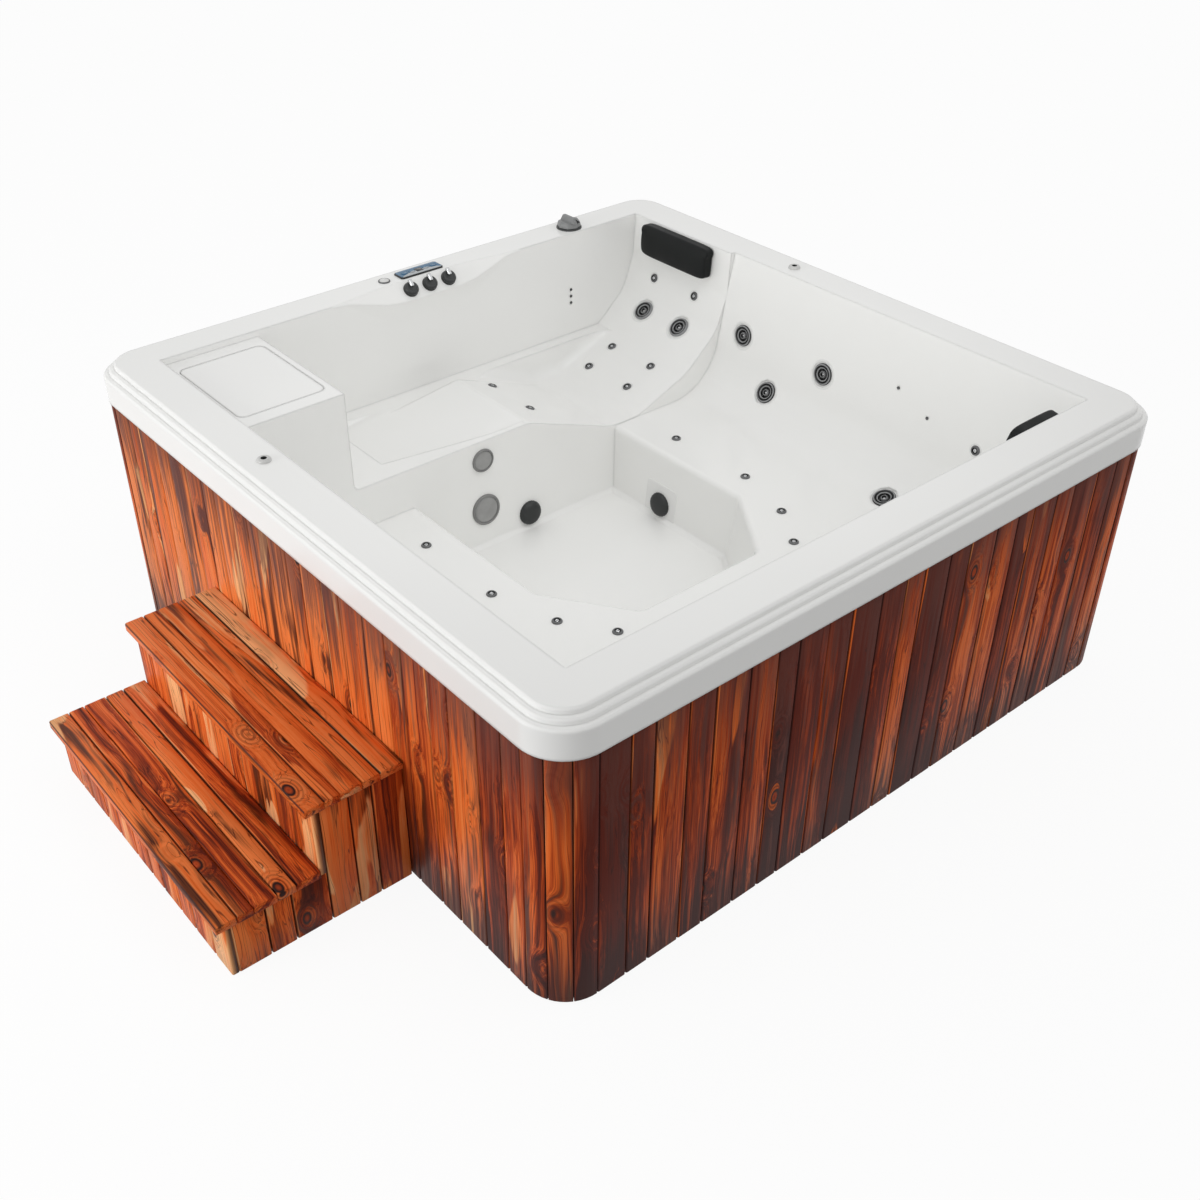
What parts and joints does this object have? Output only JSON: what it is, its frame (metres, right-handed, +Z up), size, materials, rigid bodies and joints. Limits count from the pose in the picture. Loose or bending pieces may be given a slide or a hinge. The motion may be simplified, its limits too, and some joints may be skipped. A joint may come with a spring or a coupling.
{
  "type": "hot tub",
  "caption": "Square hot tub: white moulded shell with lounger, benches, footwell and jets, in a timber-clad cabinet with a filter box, rim controls, hidden pumps and free-standing timber steps.",
  "frame": {"origin": "on the floor, under the middle of the square tub", "axes": "+Z up; the steps stand on the -Y side, the lounger lies along the -X side and the filter box fills the corner between them"},
  "size_m": [2.2, 2.7398, 0.925],
  "materials": {
    "acrylic": "glossy vacuum-formed acrylic, warm white",
    "cabinet_wood": "oiled red-brown timber with knots and cream streaks",
    "step_wood": "oiled red-brown timber with knots and cream streaks",
    "frame_wood": "rough sawn softwood",
    "pan_plastic": "black moulded pan",
    "pump_plastic": "black moulded plastic",
    "motor_paint": "black enamel",
    "white_pipe": "white rigid pipe",
    "heater_steel": "brushed stainless barrel",
    "filter_cloth": "pleated filter cloth",
    "jet_chrome": "polished ring",
    "jet_grey": "charcoal moulded plastic",
    "suction_grey": "dark grey moulded plastic",
    "lamp_lens": "grey lens",
    "stud_steel": "small stainless heads",
    "rim_grey": "mid grey moulded plastic",
    "button_white": "white push button",
    "black_plastic": "black moulded plastic",
    "panel_blue": "blue keypad overlay",
    "display_glass": "small dark display window",
    "lever_chrome": "polished lever",
    "pillow_foam": "black skinned foam"
  },
  "bodies": {
    "tub": {"acrylic_shell": "acrylic", "air_blower": "pump_plastic", "air_button_ring": "rim_grey", "air_pipe": "white_pipe", "air_valve_bodies": "black_plastic", "back_boards": "cabinet_wood", "base_pan": "pan_plastic", "base_rails": "frame_wood", "big_jet_bodies": "jet_chrome", "control_pack": "pump_plastic", "control_panel": "black_plastic", "corner_pillow": "pillow_foam", "corner_staves": "cabinet_wood", "diverter_body": "rim_grey", "filter_cartridge": "filter_cloth", "footwell_lights": "lamp_lens", "fountain_nozzles": "rim_grey", "frame_posts": "frame_wood", "front_boards": "cabinet_wood", "heater_tube": "heater_steel", "left_boards": "cabinet_wood", "lounge_pillow": "pillow_foam", "lower_tread": "step_wood", "nailing_rails": "frame_wood", "panel_display": "display_glass", "pump_motors": "motor_paint", "pump_wet_ends": "pump_plastic", "right_boards": "cabinet_wood", "rim_rails": "frame_wood", "seat_air_jets": "jet_grey", "sensor_studs": "stud_steel", "small_jets": "jet_grey", "step_frame": "frame_wood", "step_risers": "step_wood", "step_sides": "step_wood", "suction_covers": "suction_grey", "upper_tread": "step_wood", "water_pipes": "white_pipe"},
    "jet_face_1": {"jet_face_1": "jet_grey"},
    "jet_face_2": {"jet_face_2": "jet_grey"},
    "jet_face_3": {"jet_face_3": "jet_grey"},
    "jet_face_4": {"jet_face_4": "jet_grey"},
    "jet_face_5": {"jet_face_5": "jet_grey"},
    "jet_face_6": {"jet_face_6": "jet_grey"},
    "jet_face_7": {"jet_face_7": "jet_grey"},
    "jet_face_8": {"jet_face_8": "jet_grey"},
    "jet_face_9": {"jet_face_9": "jet_grey"},
    "air_valve_1": {"valve_cap_1": "black_plastic", "valve_lever_1": "lever_chrome"},
    "air_valve_2": {"valve_cap_2": "black_plastic", "valve_lever_2": "lever_chrome"},
    "air_valve_3": {"valve_cap_3": "black_plastic", "valve_lever_3": "lever_chrome"},
    "diverter_knob": {"diverter_knob": "rim_grey"},
    "panel_key_1": {"panel_key_1": "panel_blue"},
    "panel_key_2": {"panel_key_2": "panel_blue"},
    "panel_key_3": {"panel_key_3": "panel_blue"},
    "panel_key_4": {"panel_key_4": "panel_blue"},
    "air_button": {"air_button": "button_white"},
    "filter_lid": {"filter_lid": "acrylic"}
  },
  "joints": [
    {"name": "jet_face_1_turn", "type": "hinge", "parent": "tub", "child": "jet_face_1", "pos_m": [-0.34, 0.89705, 0.62943], "axis": [0, -0.9821, 0.1883], "range_deg": [0, 90]},
    {"name": "jet_face_2_turn", "type": "hinge", "parent": "tub", "child": "jet_face_2", "pos_m": [0.03, 0.89609, 0.62443], "axis": [0, -0.9821, 0.1883], "range_deg": [0, 90]},
    {"name": "jet_face_3_turn", "type": "hinge", "parent": "tub", "child": "jet_face_3", "pos_m": [-0.176, 0.85451, 0.48875], "axis": [0, -0.8365, 0.548], "range_deg": [0, 90]},
    {"name": "jet_face_4_turn", "type": "hinge", "parent": "tub", "child": "jet_face_4", "pos_m": [-0.34, -0.89705, 0.62943], "axis": [0, 0.9821, 0.1883], "range_deg": [0, 90]},
    {"name": "jet_face_5_turn", "type": "hinge", "parent": "tub", "child": "jet_face_5", "pos_m": [0.03, -0.89609, 0.62443], "axis": [0, 0.9821, 0.1883], "range_deg": [0, 90]},
    {"name": "jet_face_6_turn", "type": "hinge", "parent": "tub", "child": "jet_face_6", "pos_m": [-0.176, -0.85451, 0.48875], "axis": [0, 0.8365, 0.548], "range_deg": [0, 90]},
    {"name": "jet_face_7_turn", "type": "hinge", "parent": "tub", "child": "jet_face_7", "pos_m": [-0.794, 0.84288, 0.58041], "axis": [0, -0.6601, 0.7512], "range_deg": [0, 90]},
    {"name": "jet_face_8_turn", "type": "hinge", "parent": "tub", "child": "jet_face_8", "pos_m": [-0.606, 0.84288, 0.58041], "axis": [0, -0.6601, 0.7512], "range_deg": [0, 90]},
    {"name": "jet_face_9_turn", "type": "hinge", "parent": "tub", "child": "jet_face_9", "pos_m": [0.454, 0.74489, 0.40613], "axis": [0, -0.2965, 0.955], "range_deg": [0, 90]},
    {"name": "air_valve_1_turn", "type": "hinge", "parent": "tub", "child": "air_valve_1", "pos_m": [-0.9475, -0.056, 0.8595], "axis": [0.7071, 0, 0.7071], "range_deg": [-110, 0]},
    {"name": "air_valve_2_turn", "type": "hinge", "parent": "tub", "child": "air_valve_2", "pos_m": [-0.9475, 0.019, 0.8595], "axis": [0.7071, 0, 0.7071], "range_deg": [-110, 0]},
    {"name": "air_valve_3_turn", "type": "hinge", "parent": "tub", "child": "air_valve_3", "pos_m": [-0.9475, 0.094, 0.8595], "axis": [0.7071, 0, 0.7071], "range_deg": [-110, 0]},
    {"name": "diverter_turn", "type": "hinge", "parent": "tub", "child": "diverter_knob", "pos_m": [-0.995, 0.655, 0.885], "axis": [0, 0, 1], "range_deg": [0, 180]},
    {"name": "panel_key_1_press", "type": "slide", "parent": "tub", "child": "panel_key_1", "axis": [0, 0, -1], "range_m": [0, 0.001], "stiffness_N_per_m": 400},
    {"name": "panel_key_2_press", "type": "slide", "parent": "tub", "child": "panel_key_2", "axis": [0, 0, -1], "range_m": [0, 0.001], "stiffness_N_per_m": 400},
    {"name": "panel_key_3_press", "type": "slide", "parent": "tub", "child": "panel_key_3", "axis": [0, 0, -1], "range_m": [0, 0.001], "stiffness_N_per_m": 400},
    {"name": "panel_key_4_press", "type": "slide", "parent": "tub", "child": "panel_key_4", "axis": [0, 0, -1], "range_m": [0, 0.001], "stiffness_N_per_m": 400},
    {"name": "air_button_press", "type": "slide", "parent": "tub", "child": "air_button", "axis": [0, 0, -1], "range_m": [0, 0.003], "stiffness_N_per_m": 400},
    {"name": "filter_lid_lift", "type": "slide", "parent": "tub", "child": "filter_lid", "axis": [0, 0, 1], "range_m": [0, 0.25]}
  ]
}
